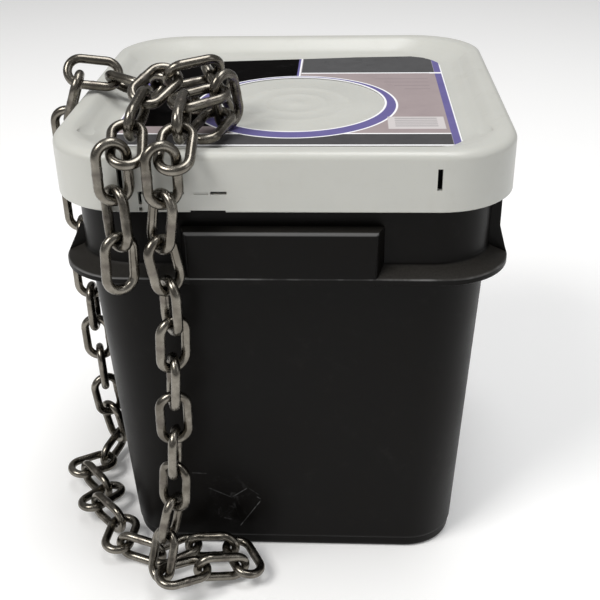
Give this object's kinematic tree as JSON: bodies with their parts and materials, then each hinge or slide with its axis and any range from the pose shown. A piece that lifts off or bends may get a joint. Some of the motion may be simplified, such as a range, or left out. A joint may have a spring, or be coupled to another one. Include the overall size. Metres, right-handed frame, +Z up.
{
  "type": "heap of steel chain",
  "caption": "Length of welded steel link chain heaped on the lid of a square plastic pail and hung over two sides of it, down to the floor.",
  "frame": {"origin": "centre of the pail's base, on the floor", "axes": "+Z up, -Y toward the front face that most of the chain hangs over, +X to its right"},
  "size_m": [0.2872, 0.2908, 0.3124],
  "materials": {
    "pail_plastic": "black moulded plastic, satin and scuffed",
    "lid_plastic": "off-white moulded plastic",
    "label_film": "plain printed film in bands of colour, no words",
    "chain_steel": "self-coloured welded steel, lightly oiled"
  },
  "bodies": {
    "root": {"pail_body": "pail_plastic", "lid": "lid_plastic", "lid_label": "label_film", "link_01": "chain_steel", "link_02": "chain_steel", "link_03": "chain_steel", "link_04": "chain_steel", "link_05": "chain_steel", "link_06": "chain_steel", "link_07": "chain_steel", "link_08": "chain_steel", "link_09": "chain_steel", "link_10": "chain_steel", "link_11": "chain_steel", "link_12": "chain_steel", "link_13": "chain_steel", "link_14": "chain_steel", "link_15": "chain_steel", "link_16": "chain_steel", "link_17": "chain_steel", "link_18": "chain_steel", "link_19": "chain_steel", "link_20": "chain_steel", "link_21": "chain_steel", "link_22": "chain_steel", "link_23": "chain_steel", "link_24": "chain_steel", "link_25": "chain_steel", "link_26": "chain_steel", "link_27": "chain_steel", "link_28": "chain_steel", "link_29": "chain_steel", "link_30": "chain_steel", "link_31": "chain_steel", "link_32": "chain_steel", "link_33": "chain_steel", "link_34": "chain_steel", "link_35": "chain_steel", "link_36": "chain_steel", "link_37": "chain_steel", "link_38": "chain_steel", "link_39": "chain_steel", "link_40": "chain_steel", "link_41": "chain_steel", "link_42": "chain_steel", "link_43": "chain_steel", "link_44": "chain_steel", "link_45": "chain_steel", "link_46": "chain_steel", "link_47": "chain_steel", "link_48": "chain_steel", "link_49": "chain_steel", "link_50": "chain_steel", "link_51": "chain_steel", "link_52": "chain_steel"}
  },
  "joints": []
}
